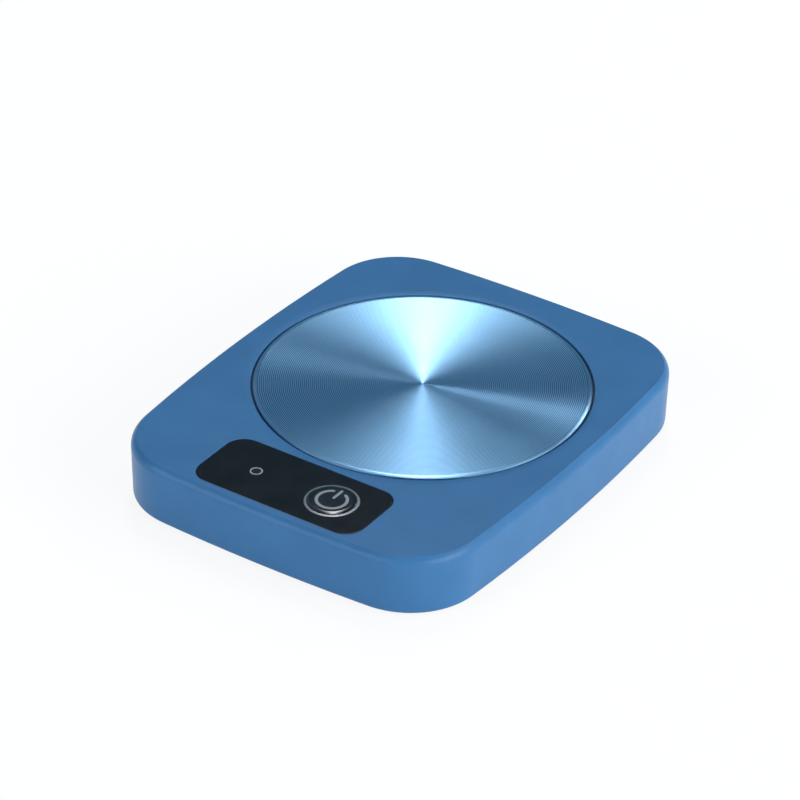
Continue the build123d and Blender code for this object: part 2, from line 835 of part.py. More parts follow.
def socket_tongue():
    """Insulator of the power socket: a base that closes the shell's back, and the contact tongue."""
    start = socket_mouth_y - socket_length
    base_face = Plane.XZ * SlotOverall(socket_width - 2 * socket_metal, socket_height - 2 * socket_metal)
    base = Pos(0, start, socket_z) * extrude(base_face, socket_base_length, dir=(0, 1, 0))
    length = socket_length - tongue_setback
    low = socket_z - tongue_thickness / 2
    return base + slab(tongue_width, length, low, low + tongue_thickness, 0, start + length / 2)


def socket_board():
    """Small board that carries the power socket."""
    middle = (socket_board_back + socket_board_front) / 2
    board = slab(socket_board_width, socket_board_length, socket_board_under, socket_board_top, 0, middle,
                 socket_board_corner)
    for side in (-1, 1):
        hole_x = side * socket_post_x
        board -= post(board_shank_radius + screw_clearance, 0, case_top, hole_x, socket_post_y)
    return board


def lead(points, radius):
    """A round lead along straight runs joined by arcs as large as the runs allow."""
    places = [Vector(*point) for point in points]
    runs = [b - a for a, b in zip(places, places[1:])]
    bends = []
    for before, after in zip(runs, runs[1:]):
        half_turn = radians(before.get_angle(after)) / 2
        bends.append(0.45 * min(before.length, after.length) / tan(half_turn))
    path = FilletPolyline(*places, radius=bends)
    solid = sweep(Plane(path @ 0, z_dir=path % 0) * Circle(radius), path=path)
    swept = round(solid.volume / (pi * radius**2 * path.length), 3)
    print("lead bends", [round(bend, 1) for bend in bends], "volume ratio", swept)
    return solid


def heater_leads():
    """Two silicone-insulated leads from their plug, one to the heater and one to the cutout."""
    to_heater = heater_connector_x - heavy_lead_pitch / 2
    to_cutout = heater_connector_x + heavy_lead_pitch / 2
    heater_route = [
        (to_heater, lead_entry_y, lead_entry_z),
        (to_heater, -31, lead_entry_z),
        (-14, -24, 6),
        (lead_slot_x, lead_slot_y, 5),
        (lead_slot_x, lead_slot_y, heater_under - 0.6),
    ]
    cutout_route = [
        (to_cutout, lead_entry_y, lead_entry_z),
        (to_cutout, -30, lead_entry_z),
        (-8, -21, 7),
        (8, -14, 6.5),
        (cutout_x, -5, cutout_entry_z),
        (cutout_x, plate_y - cutout_length / 2, cutout_entry_z),
    ]
    return Compound([lead(heater_route, heavy_lead_radius), lead(cutout_route, heavy_lead_radius)])


def sensor_leads():
    """Two thin leads from the sensor's barrel to their plug."""
    barrel_end = plate_y - barrel_start - barrel_length
    leads = []
    for side in (-1, 1):
        at_plug = sensor_connector_x + side * light_lead_pitch / 2
        at_barrel = side * 0.55
        route = [
            (at_barrel, barrel_end, barrel_z),
            (at_barrel, barrel_end - 6, barrel_z),
            (at_plug, -19, 9.5),
            (at_plug, -29, lead_entry_z),
            (at_plug, lead_entry_y, lead_entry_z),
        ]
        leads.append(lead(route, light_lead_radius))
    return Compound(leads)


def power_leads():
    """Two leads from the socket board, round the middle of the base, to their plug."""
    leads = []
    for side in (-1, 1):
        start_x = side * 1.6
        aside = side * 1.3
        at_plug = power_connector_x + side * heavy_lead_pitch / 2
        board_z = socket_board_top + heavy_lead_radius
        route = [
            (start_x, socket_board_front + 3, board_z),
            (start_x, socket_board_front - 4 + aside, board_z),
            (4 + aside, 37 + aside, 4.6),
            (19 + aside, 19 + aside, 4.6),
            (26 + aside, -3, 4.6),
            (24.5 + aside, -19, 6),
            (at_plug, -30, lead_entry_z),
            (at_plug, lead_entry_y, lead_entry_z),
        ]
        leads.append(lead(route, heavy_lead_radius))
    return Compound(leads)


def rubber_feet():
    """Four long rubber feet, bonded into the recesses of the base."""
    face = SlotOverall(foot_length, foot_width)
    feet = []
    for x, y in four_corners(foot_x, foot_y):
        foot = prism(Pos(x, y) * face, 0, base_under + foot_recess)
        feet.append(fillet(foot.faces().sort_by(Axis.Z)[0].edges(), foot_round))
    return Compound(feet)


def case_screws():
    """Four self-tapping screws up through the base into the cover's posts."""
    sizes = (case_head_seat, case_head_radius, case_head_height, case_shank_radius, case_screw_reach - 1)
    return Compound([screw(x, y, *sizes) for x, y in four_corners(case_screw_x, case_screw_y)])


def clamp_screws():
    """Four screws that hold the clamp plate to the cover."""
    sizes = (clamp_under, clamp_head_radius, clamp_head_height, clamp_shank_radius, clamp_screw_reach - 0.3)
    return Compound([screw(x, y, *sizes) for x, y in clamp_screw_places()])


def board_screws():
    """Four screws that hold the control board to the cover."""
    sizes = (board_under, board_head_radius, board_head_height, board_shank_radius, board_screw_reach - 0.5)
    return Compound([screw(x, y, *sizes) for x, y in board_screw_places()])


def socket_screws():
    """Two screws that hold the socket board to the base."""
    reach = socket_board_thickness + socket_screw_reach - 0.4
    sizes = (socket_board_top, board_head_radius, board_head_height, board_shank_radius, reach, False)
    return Compound([screw(side * socket_post_x, socket_post_y, *sizes) for side in (-1, 1)])


def sensor_screw():
    """The screw that holds the sensor's lug to the centre boss."""
    seat = flange_under - lug_thickness
    reach = lug_thickness + sensor_hole_depth - 0.3
    return screw(0, plate_y, seat, sensor_head_radius, sensor_head_height, sensor_shank_radius, reach)


pieces = {
    "top_cover": top_cover(),
    "bottom_cover": bottom_cover(),
    "rubber_feet": rubber_feet(),
    "case_screws": case_screws(),
    "heating_plate": heating_plate(),
    "plate_seal": plate_seal(),
    "heater_element": heater_element(),
    "insulation_pad": insulation_pad(),
    "clamp_plate": clamp_plate(),
    "clamp_screws": clamp_screws(),
    "thermal_cutout": thermal_cutout(),
    "cutout_clip": cutout_clip(),
    "temperature_sensor": temperature_sensor(),
    "sensor_screw": sensor_screw(),
    "control_panel": control_panel(),
    "panel_adhesive": panel_adhesive(),
    "button_ring": button_ring(),
    "power_button": power_button(),
    "power_symbol": power_symbol(),
    "indicator_ring": indicator_ring(),
    "indicator_lens": indicator_lens(),
    "indicator_led": indicator_led(),
    "control_board": control_board(),
    "board_screws": board_screws(),
    "switch_base": switch_base(),
    "switch_terminals": switch_terminals(),
    "switch_dome": switch_dome(),
    "switch_plunger": switch_plunger(),
    "switch_cover": switch_cover(),
    "controller_chip": controller_chip(),
    "power_transistor": power_transistor(),
    "bulk_capacitor": bulk_capacitor(),
    "small_chip_parts": small_chip_parts(),
    "heater_connector": connector(heater_connector_x, wide_connector),
    "sensor_connector": connector(sensor_connector_x, narrow_connector),
    "power_connector": connector(power_connector_x, wide_connector),
    "heater_plug": plug(heater_connector_x, wide_connector),
    "sensor_plug": plug(sensor_connector_x, narrow_connector),
    "power_plug": plug(power_connector_x, wide_connector),
    "heater_leads": heater_leads(),
    "sensor_leads": sensor_leads(),
    "power_leads": power_leads(),
    "power_socket_shell": socket_shell(),
    "power_socket_tongue": socket_tongue(),
    "socket_board": socket_board(),
    "socket_screws": socket_screws(),
}

os.makedirs("parts", exist_ok=True)
for name, piece in pieces.items():
    export_step(piece, f"parts/{name}.step")
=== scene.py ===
from math import cos, pi, radians, sin

import bmesh
import bpy
from mathutils import Matrix, Vector


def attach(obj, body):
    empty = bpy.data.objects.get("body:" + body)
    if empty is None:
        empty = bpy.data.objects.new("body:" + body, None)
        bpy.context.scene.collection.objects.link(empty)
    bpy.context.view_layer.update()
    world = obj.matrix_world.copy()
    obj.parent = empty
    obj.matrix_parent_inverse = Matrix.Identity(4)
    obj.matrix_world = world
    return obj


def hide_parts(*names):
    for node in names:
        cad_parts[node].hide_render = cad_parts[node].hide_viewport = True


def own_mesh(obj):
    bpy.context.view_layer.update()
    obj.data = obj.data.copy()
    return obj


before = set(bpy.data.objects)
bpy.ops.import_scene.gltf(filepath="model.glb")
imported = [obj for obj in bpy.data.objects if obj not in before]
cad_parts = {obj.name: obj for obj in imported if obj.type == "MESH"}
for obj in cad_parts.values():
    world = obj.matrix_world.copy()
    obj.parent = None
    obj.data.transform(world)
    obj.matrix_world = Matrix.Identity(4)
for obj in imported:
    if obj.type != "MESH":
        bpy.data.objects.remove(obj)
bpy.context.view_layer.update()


# ---------------------------------------------------------------------------------------------------------
# Top cover. One injection-moulded ABS shell with a satin spark-eroded texture, blue all through.
# It carries everything else, and its edge falls away in a narrow bevel before the side starts.
# The pieces' sizes are in millimetres, and MM turns them into metres.
MM = 0.001
case_colour, case_roughness = (0.037, 0.134, 0.288), 0.34
same_corner, shortest_edge, same_plane = 0.0005, 0.0001, 0.9999995


def new_material(name):
    """An empty node material with its Principled shader, ready to be wired."""
    material = bpy.data.materials.new(name)
    material.use_nodes = True
    nodes = material.node_tree.nodes
    return material, nodes, material.node_tree.links, nodes["Principled BSDF"]


def surface_point(nodes):
    """The place on the piece, in metres, in the object's own axes."""
    return nodes.new("ShaderNodeTexCoord").outputs["Object"]


def noise(nodes, links, point, size, detail=2.0):
    """Soft random blotches of about this size in millimetres, 0 to 1."""
    texture = nodes.new("ShaderNodeTexNoise")
    texture.inputs["Scale"].default_value = 1 / (size * MM)
    texture.inputs["Detail"].default_value = detail
    links.new(point, texture.inputs["Vector"])
    return texture.outputs["Fac"]


def spread(nodes, links, value, low, high, start=0.3, end=0.7):
    """Runs from low to high while the value goes from start to end, and stays level outside that."""
    stretch = nodes.new("ShaderNodeMapRange")
    stretch.inputs["From Min"].default_value = start
    stretch.inputs["From Max"].default_value = end
    stretch.inputs["To Min"].default_value = low
    stretch.inputs["To Max"].default_value = high
    links.new(value, stretch.inputs["Value"])
    return stretch.outputs["Result"]


def blend_colours(nodes, links, share, first, second):
    """A colour that goes from first to second as share goes from 0 to 1."""
    mix = nodes.new("ShaderNodeMix")
    mix.data_type = "RGBA"
    factor, colour_a, colour_b, mixed = mix.inputs[0], mix.inputs[6], mix.inputs[7], mix.outputs[2]
    colour_a.default_value = (*first, 1)
    colour_b.default_value = (*second, 1)
    links.new(share, factor)
    return mixed


def relief(nodes, links, shader, height, depth, strength):
    """Fine surface relief, depth in millimetres."""
    bump = nodes.new("ShaderNodeBump")
    bump.inputs["Strength"].default_value = strength
    bump.inputs["Distance"].default_value = depth * MM
    links.new(height, bump.inputs["Height"])
    links.new(bump.outputs["Normal"], shader.inputs["Normal"])


def moulded_plastic(name, colour, roughness, grain=0.35, depth=0.012, strength=0.5, blotch=0.05,
                    level=0.16):
    """Moulded plastic: spark-eroded grain, faint flow blotches and slightly polished high spots.

    grain and depth are the width and height of the texture in millimetres.
    """
    material, nodes, links, shader = new_material(name)
    point = surface_point(nodes)
    flow = noise(nodes, links, point, size=14.0, detail=3.0)
    darker = tuple(c * (1 - blotch) for c in colour)
    lighter = tuple(c * (1 + blotch) for c in colour)
    share = spread(nodes, links, flow, 0, 1)
    links.new(blend_colours(nodes, links, share, darker, lighter), shader.inputs["Base Color"])
    rub = noise(nodes, links, point, size=5.0, detail=4.0)
    links.new(spread(nodes, links, rub, roughness - 0.03, roughness + 0.03), shader.inputs["Roughness"])
    shader.inputs["Specular IOR Level"].default_value = level
    relief(nodes, links, shader, noise(nodes, links, point, grain, detail=1.0), depth, strength)
    return material


def flat_areas(work):
    """For every triangle, the area of the flat patch that it belongs to."""
    patch_area = {}
    for first in work.faces:
        if first in patch_area:
            continue
        patch, waiting = {first}, [first]
        while waiting:
            facet = waiting.pop()
            for edge in facet.edges:
                for beside in edge.link_faces:
                    if beside not in patch and beside.normal.dot(first.normal) > same_plane:
                        patch.add(beside)
                        waiting.append(beside)
        area = sum(facet.calc_area() for facet in patch)
        for facet in patch:
            patch_area[facet] = area
    return patch_area


def tangent_normals(work, sharp):
    """Corner normals that follow the largest flat patch nearby, so that a rounding runs into it truly.

    sharp is the angle in degrees from which an edge stays a crease.
    """
    patch_area = flat_areas(work)
    limit = cos(radians(sharp))
    normals = []
    for facet in work.faces:
        for corner in facet.loops:
            near = [f for f in corner.vert.link_faces if f.normal.dot(facet.normal) > limit]
            largest = max(patch_area[f] for f in near)
            leading = [f for f in near if patch_area[f] > largest / 3]
            total = Vector()
            for f in leading:
                wedge = next(c for c in f.loops if c.vert == corner.vert)
                total += f.normal * wedge.calc_angle()
            normals.append(total.normalized())
    return normals


def merged_solid(node, name, sharp=35.0):
    """A closed copy of a solid, its corners shared, flat faces flat and rounded ones smooth."""
    mesh = bpy.data.meshes.new_from_object(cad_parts[node])
    mesh.name = name
    work = bmesh.new()
    work.from_mesh(mesh)
    bmesh.ops.remove_doubles(work, verts=work.verts, dist=same_corner * MM)
    bmesh.ops.dissolve_degenerate(work, edges=work.edges, dist=shortest_edge * MM)
    normals = tangent_normals(work, sharp)
    work.to_mesh(mesh)
    work.free()
    mesh.shade_smooth()
    mesh.normals_split_custom_set(normals)
    piece = bpy.data.objects.new(name, mesh)
    bpy.context.scene.collection.objects.link(piece)
    return piece


def fit(piece, body, slot, material, *nodes):
    """Puts a finished piece on its body in place of its solids."""
    piece.data.materials.clear()
    piece.data.materials.append(material)
    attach(piece, body)
    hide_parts(*nodes)


case_blue = moulded_plastic("case_blue_satin", case_colour, case_roughness)
fit(merged_solid("top_cover", "case_cover"), "case", "case_blue", case_blue, "top_cover")


# ---------------------------------------------------------------------------------------------------------
# Heating plate. An aluminium dish, faced on a lathe and dyed blue, clamped under the cover by its flange.
# Fine rings run from its centre to a smooth sloping rim. Each leans towards the centre, and its colour has
# a duller and a brighter band: a burnished band that is partly a painted highlight standing for the rings'
# glints.
plate_x, plate_y = 0.0, 8.9
plate_top, plate_edge = 18.5, 46.05
rim_start, rim_drop, rim_round, rim_steps = 45.05, 0.32, 0.12, 8
ring_pitch, ring_depth, ring_lean, ring_count = 0.533, 0.046, 0.816, 84
ring_weld, plate_segments = 0.0004, 256
plate_skin, plate_wall = 1.8, 2.0
flange_edge, flange_top, flange_under = 49.4, 15.6, 14.4
boss_edge, screw_hole, screw_hole_depth = 4.0, 1.27, 3.1
# The brighter band colour is partly a painted highlight: it stands for the glints off the rings.
dull_band, burnished_highlight_band = (0.122, 0.232, 0.372), (0.366, 0.690, 1.0)
band_shift, dull_until, bright_from = 0.1, 0.15, 0.35
faint, full, fade_start, fade_end, rim_blend = 0.35, 0.95, 8, 38, 0.1
tangent_fall = 0.3


def maths(nodes, links, operation, first, second=None):
    """One arithmetic node. first and second are sockets or numbers."""
    node = nodes.new("ShaderNodeMath")
    node.operation = operation
    for place, value in enumerate((first, second)):
        if value is None:
            continue
        if isinstance(value, (int, float)):
            node.inputs[place].default_value = value
        else:
            links.new(value, node.inputs[place])
    return node.outputs[0]


def vector_maths(nodes, links, operation, first, second=(0, 0, 0)):
    """One vector node. first is a socket, and second is three numbers."""
    node = nodes.new("ShaderNodeVectorMath")
    node.operation = operation
    node.inputs[1].default_value = second
    links.new(first, node.inputs[0])
    return node.outputs["Value" if operation == "LENGTH" else "Vector"]


def ring_burnish_and_highlight(nodes, links, radius):
    """From -0.5, dull, to 0.5, burnished and partly a painted highlight, across each ring.

    Weaker towards the centre, none on the rim.
    """
    turns = maths(nodes, links, "DIVIDE", radius, ring_pitch * MM)
    across_ring = maths(nodes, links, "PINGPONG", maths(nodes, links, "SUBTRACT", turns, band_shift), 0.5)
    # Painted highlight: the brighter band in each ring's colour stands partly for the glints off its faces.
    burnish_and_highlight = spread(nodes, links, across_ring, -0.5, 0.5, dull_until, bright_from)
    contrast = spread(nodes, links, radius, faint, full, fade_start * MM, fade_end * MM)
    on_rim = spread(nodes, links, radius, 0, 1, (rim_start - rim_blend) * MM, rim_start * MM)
    off_rim = maths(nodes, links, "SUBTRACT", 1.0, on_rim)
    return maths(nodes, links, "MULTIPLY", burnish_and_highlight, maths(nodes, links, "MULTIPLY", contrast, off_rim))


def turned_metal(name):
    """Dyed, lathe-turned aluminium: it shines along every radius, and each ring has a burnished band
    that is partly a painted highlight.
    """
    material, nodes, links, shader = new_material(name)
    point = surface_point(nodes)
    from_centre = vector_maths(nodes, links, "SUBTRACT", point, (plate_x * MM, plate_y * MM, 0))
    flat = vector_maths(nodes, links, "MULTIPLY", from_centre, (1, 1, 0))
    outwards = vector_maths(nodes, links, "NORMALIZE", flat)
    down_the_slope = vector_maths(nodes, links, "ADD", outwards, (0, 0, -tangent_fall))
    links.new(down_the_slope, shader.inputs["Tangent"])
    radius = vector_maths(nodes, links, "LENGTH", flat)
    bands = ring_burnish_and_highlight(nodes, links, radius)
    cloud = noise(nodes, links, point, size=22.0)
    share = maths(nodes, links, "ADD", bands, spread(nodes, links, cloud, 0.45, 0.55))
    links.new(blend_colours(nodes, links, share, dull_band, burnished_highlight_band), shader.inputs["Base Color"])
    by_radius = nodes.new("ShaderNodeCombineXYZ")
    links.new(radius, by_radius.inputs["X"])
    streak = noise(nodes, links, by_radius.outputs[0], size=0.8, detail=4.0)
    links.new(spread(nodes, links, streak, 0.29, 0.35), shader.inputs["Roughness"])
    shader.inputs["Metallic"].default_value = 0.95
    shader.inputs["Anisotropic"].default_value = 0.86
    return material


def revolved(name, section, segments):
    """A surface turned about the plate's centre from (radius, height) points in millimetres."""
    work = bmesh.new()
    rings = []
    for r, z in section:
        if r == 0:
            rings.append([work.verts.new((plate_x * MM, plate_y * MM, z * MM))] * segments)
            continue
        ring = []
        for step in range(segments):
            turn = 2 * pi * step / segments
            place = (plate_x + r * cos(turn), plate_y + r * sin(turn), z)
            ring.append(work.verts.new(Vector(place) * MM))
        rings.append(ring)
    for lower, upper in zip(rings, rings[1:]):
        for step in range(segments):
            after = (step + 1) % segments
            corners = [lower[step], lower[after], upper[after], upper[step]]
            work.faces.new(list(dict.fromkeys(corners)))
    mesh = bpy.data.meshes.new(name)
    work.to_mesh(mesh)
    work.free()
    return mesh


def dish_section():
    """From the outermost ring over the rim, down the wall, round the flange and back to the centre.

    The rim falls gently where it starts and five times as steeply at its edge.
    """
    inner = plate_edge - plate_wall
    section = [(ring_count * ring_pitch, plate_top - ring_depth), (rim_start - rim_round, plate_top)]
    rim_end = plate_edge - rim_round / 2
    for step in range(rim_steps + 1):
        share = step / rim_steps
        below = rim_drop * (share + 2 * share ** 2) / 3
        section.append((rim_start + (rim_end - rim_start) * share, plate_top - below))
    section += [(plate_edge - rim_round / 8, plate_top - rim_drop - rim_round / 3)]
    section += [(plate_edge, plate_top - rim_drop - rim_round), (plate_edge, flange_top)]
    section += [(flange_edge, flange_top), (flange_edge, flange_under)]
    section += [(inner, flange_under), (inner, plate_top - plate_skin)]
    section += [(boss_edge, plate_top - plate_skin), (boss_edge, flange_under)]
    section += [(screw_hole, flange_under), (screw_hole, flange_under + screw_hole_depth)]
    section.append((0, flange_under + screw_hole_depth))
    return section


def turned_rings_tree():
    """Geometry Nodes: the faced top, ring by ring, joined to the dish that comes in.

    It bends a grid round the centre. Its rows are valleys, at whole pitches, and crests, which stand
    further out by the lean, by turns.
    """
    tree = bpy.data.node_groups.new("turned_rings", "GeometryNodeTree")
    face = tree.interface
    face.new_socket("Dish", in_out="INPUT", socket_type="NodeSocketGeometry")
    for label in ("Pitch", "Depth", "Lean", "Top", "Centre X", "Centre Y"):
        face.new_socket(label, in_out="INPUT", socket_type="NodeSocketFloat")
    for label in ("Rings", "Segments"):
        face.new_socket(label, in_out="INPUT", socket_type="NodeSocketInt")
    face.new_socket("Finish", in_out="INPUT", socket_type="NodeSocketMaterial")
    face.new_socket("Plate", in_out="OUTPUT", socket_type="NodeSocketGeometry")
    nodes, links = tree.nodes, tree.links
    given = nodes.new("NodeGroupInput").outputs
    result = nodes.new("NodeGroupOutput")

    stations = maths(nodes, links, "MULTIPLY", given["Rings"], 2)
    grid = nodes.new("GeometryNodeMeshGrid")
    grid.inputs["Size X"].default_value = 1
    grid.inputs["Size Y"].default_value = 1
    links.new(maths(nodes, links, "ADD", given["Segments"], 1), grid.inputs["Vertices X"])
    links.new(maths(nodes, links, "ADD", stations, 1), grid.inputs["Vertices Y"])

    place = nodes.new("ShaderNodeSeparateXYZ")
    links.new(nodes.new("GeometryNodeInputPosition").outputs[0], place.inputs[0])
    turn = maths(nodes, links, "MULTIPLY", maths(nodes, links, "ADD", place.outputs[0], 0.5), -2 * pi)
    along = maths(nodes, links, "MULTIPLY", maths(nodes, links, "ADD", place.outputs[1], 0.5), stations)
    station = maths(nodes, links, "ROUND", along)
    crest = maths(nodes, links, "MODULO", station, 2)
    ring = maths(nodes, links, "FLOOR", maths(nodes, links, "MULTIPLY", station, 0.5))
    outwards = maths(nodes, links, "ADD", ring, maths(nodes, links, "MULTIPLY", crest, given["Lean"]))
    radius = maths(nodes, links, "MULTIPLY", outwards, given["Pitch"])
    below = maths(nodes, links, "MULTIPLY", maths(nodes, links, "SUBTRACT", 1, crest), given["Depth"])
    x = maths(nodes, links, "MULTIPLY", radius, maths(nodes, links, "COSINE", turn))
    y = maths(nodes, links, "MULTIPLY", radius, maths(nodes, links, "SINE", turn))
    spot = nodes.new("ShaderNodeCombineXYZ")
    links.new(maths(nodes, links, "ADD", x, given["Centre X"]), spot.inputs[0])
    links.new(maths(nodes, links, "ADD", y, given["Centre Y"]), spot.inputs[1])
    links.new(maths(nodes, links, "SUBTRACT", given["Top"], below), spot.inputs[2])
    laid = nodes.new("GeometryNodeSetPosition")
    links.new(grid.outputs["Mesh"], laid.inputs["Geometry"])
    links.new(spot.outputs[0], laid.inputs["Position"])

    joined = nodes.new("GeometryNodeJoinGeometry")
    links.new(laid.outputs[0], joined.inputs[0])
    links.new(given["Dish"], joined.inputs[0])
    closed = nodes.new("GeometryNodeMergeByDistance")
    closed.inputs["Distance"].default_value = ring_weld * MM
    links.new(joined.outputs[0], closed.inputs["Geometry"])
    plain = nodes.new("GeometryNodeRealizeInstances")
    links.new(closed.outputs[0], plain.inputs[0])
    finish = nodes.new("GeometryNodeSetMaterial")
    links.new(plain.outputs[0], finish.inputs["Geometry"])
    links.new(given["Finish"], finish.inputs["Material"])
    links.new(finish.outputs[0], result.inputs["Plate"])
    return tree


def run_tree(piece, tree, values):
    """Runs a tree on a piece with named inputs and keeps the result as a plain mesh."""
    step = piece.modifiers.new(tree.name, "NODES")
    step.node_group = tree
    for item in tree.interface.items_tree:
        if item.item_type == "SOCKET" and item.in_out == "INPUT" and item.name in values:
            step[item.identifier] = values[item.name]
    view = bpy.context.evaluated_depsgraph_get()
    piece.data = bpy.data.meshes.new_from_object(piece.evaluated_get(view))
    piece.modifiers.clear()


def smooth_rings(mesh, sharp):
    """Faces outwards, smooth along every ring and creased where one meets the next at sharp degrees."""
    work = bmesh.new()
    work.from_mesh(mesh)
    bmesh.ops.recalc_face_normals(work, faces=work.faces)
    for edge in work.edges:
        turned_away = len(edge.link_faces) == 2 and edge.calc_face_angle() > radians(sharp)
        edge.smooth = not turned_away
    for facet in work.faces:
        facet.smooth = True
    work.to_mesh(mesh)
    work.free()


plate_blue = turned_metal("plate_blue_turned")
plate = bpy.data.objects.new("turned_plate", revolved("turned_plate", dish_section(), plate_segments))
bpy.context.scene.collection.objects.link(plate)
run_tree(plate, turned_rings_tree(), {
    "Pitch": ring_pitch * MM, "Depth": ring_depth * MM, "Lean": ring_lean, "Top": plate_top * MM,
    "Centre X": plate_x * MM, "Centre Y": plate_y * MM, "Rings": ring_count,
    "Segments": plate_segments, "Finish": plate_blue,
})
smooth_rings(plate.data, sharp=14.0)
fit(plate, "case", "plate_blue", plate_blue, "heating_plate")


# ---------------------------------------------------------------------------------------------------------
# Control panel. Acrylic, back-coated black and glossy, bonded into a shallow pocket of the cover.
# Its surface has faint wiping marks and hardly any colour of its own.
def glossy_plastic(name, colour, roughness, smear=0.05, level=0.5):
    """Polished plastic with faint wiping marks that dull the gloss here and there."""
    material, nodes, links, shader = new_material(name)
    point = surface_point(nodes)
    wipe = noise(nodes, links, point, size=7.0, detail=5.0)
    links.new(spread(nodes, links, wipe, roughness, roughness + smear), shader.inputs["Roughness"])
    tone = noise(nodes, links, point, size=11.0)
    share = spread(nodes, links, tone, 0, 1)
    darker = tuple(c * 0.92 for c in colour)
    lighter = tuple(c * 1.08 for c in colour)
    links.new(blend_colours(nodes, links, share, darker, lighter), shader.inputs["Base Color"])
    shader.inputs["Specular IOR Level"].default_value = level
    swell = noise(nodes, links, point, size=9.0, detail=1.0)
    relief(nodes, links, shader, swell, depth=0.02, strength=0.12)
    return material


panel_black = glossy_plastic("panel_black_gloss", (0.0068, 0.0072, 0.0080), 0.13, smear=0.04, level=0.4)
fit(merged_solid("control_panel", "panel"), "case", "panel_black", panel_black, "control_panel")


# ---------------------------------------------------------------------------------------------------------
# Button and its ring. The ring is brass, turned and plated to a satin shine. The cap is black ABS, flat
# with a sloping shoulder. The power symbol is a second shot of silver-grey plastic, all but level with it.
def plated_metal(name, colour, roughness, dent=0.004):
    """Plating with faint handling haze, and dents of this depth in millimetres."""
    material, nodes, links, shader = new_material(name)
    point = surface_point(nodes)
    haze = noise(nodes, links, point, size=2.0, detail=4.0)
    links.new(spread(nodes, links, haze, roughness, roughness + 0.08), shader.inputs["Roughness"])
    shade = noise(nodes, links, point, size=4.0)
    share = spread(nodes, links, shade, 0, 1)
    darker = tuple(c * 0.94 for c in colour)
    links.new(blend_colours(nodes, links, share, darker, colour), shader.inputs["Base Color"])
    shader.inputs["Metallic"].default_value = 1.0
    relief(nodes, links, shader, haze, dent, strength=0.2)
    return material


trim_metal = plated_metal("bright_trim_plating", (0.29, 0.30, 0.31), 0.38, dent=0.0005)
fit(merged_solid("button_ring", "button_trim"), "case", "bright_trim", trim_metal, "button_ring")
button_black = glossy_plastic("button_black_gloss", (0.007, 0.008, 0.010), 0.12, level=0.8)
fit(merged_solid("power_button", "button_cap"), "button", "button_black", button_black, "power_button")
symbol_silver = glossy_plastic("symbol_silver_grey", (0.20, 0.21, 0.225), 0.32)
fit(merged_solid("power_symbol", "button_mark"), "button", "symbol_silver", symbol_silver, "power_symbol")


# ---------------------------------------------------------------------------------------------------------
# Indicator. A small plated tube pressed into the panel, with a smoked light pipe in it that is dark
# while the lamp below is off.
fit(merged_solid("indicator_ring", "indicator_trim"), "case", "bright_trim", trim_metal, "indicator_ring")
lens_smoke = glossy_plastic("lens_smoke_clear", (0.014, 0.016, 0.020), 0.12)
fit(merged_solid("indicator_lens", "indicator_window"), "case", "lens_smoke", lens_smoke, "indicator_lens")


# ---------------------------------------------------------------------------------------------------------
# Seal, feet and base. The seal is moulded silicone in the gap round the plate. Its deep navy is partly
# painted shade, the dark of the gap, as well as its own colour. The base is the same plastic as the cover,
# textured more coarsely, and the four feet are rubber with a talc-dull skin.
def soft_rubber(name, colour, roughness):
    """Moulded rubber: dull, slightly dusty, with a fine pebble."""
    material, nodes, links, shader = new_material(name)
    point = surface_point(nodes)
    dust = noise(nodes, links, point, size=3.0, detail=5.0)
    share = spread(nodes, links, dust, 0, 1, start=0.35, end=0.8)
    dusty = tuple(c * 0.8 + 0.012 for c in colour)
    links.new(blend_colours(nodes, links, share, colour, dusty), shader.inputs["Base Color"])
    links.new(spread(nodes, links, dust, roughness, roughness + 0.1), shader.inputs["Roughness"])
    relief(nodes, links, shader, noise(nodes, links, point, size=0.5), depth=0.02, strength=0.6)
    return material


# Painted shade: the seal's deep navy stands partly for the shade in the gap round the plate.
seal_rubber_and_gap_shade = soft_rubber("seal_silicone_navy_gap_shade", (0.004, 0.020, 0.070), 0.6)
fit(merged_solid("plate_seal", "gap_seal"), "case", "seal_silicone", seal_rubber_and_gap_shade, "plate_seal")
base_blue = moulded_plastic("base_blue_textured", (0.038, 0.110, 0.250), 0.55,
                            grain=0.6, depth=0.03, strength=0.7)
fit(merged_solid("bottom_cover", "base_cover"), "case", "base_blue", base_blue, "bottom_cover")
foot_rubber = soft_rubber("foot_rubber_black", (0.020, 0.022, 0.025), 0.7)
fit(merged_solid("rubber_feet", "feet"), "case", "foot_rubber", foot_rubber, "rubber_feet")


# ---------------------------------------------------------------------------------------------------------
# Power socket. The shell is drawn from nickel-plated steel, and the tongue and the base behind it are
# black glass-filled nylon.
socket_steel = plated_metal("socket_nickel_steel", (0.52, 0.51, 0.49), 0.26)
fit(merged_solid("power_socket_shell", "socket_shell"), "case", "nickel_steel", socket_steel,
    "power_socket_shell")
tongue_black = moulded_plastic("tongue_black_nylon", (0.012, 0.012, 0.014), 0.5, grain=0.3, depth=0.01)
fit(merged_solid("power_socket_tongue", "socket_tongue"), "case", "black_moulding", tongue_black,
    "power_socket_tongue")


# ---------------------------------------------------------------------------------------------------------
# Screws. Pan-head self-tapping screws of zinc-plated steel, driven into posts of the cover and the base and
# into the plate's centre boss. Four of them hold the base, and can be seen from below in its wells.
def dress(node, material):
    """A solid that keeps its own shape and gets its finish."""
    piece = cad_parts[node]
    if not piece.material_slots:
        piece.data.materials.append(material)
    for place in piece.material_slots:
        place.link = "OBJECT"
        place.material = material


zinc_plate = plated_metal("screw_zinc_plating", (0.50, 0.51, 0.50), 0.34)
for screws in ("case_screws", "clamp_screws", "board_screws", "socket_screws", "sensor_screw"):
    dress(screws, zinc_plate)


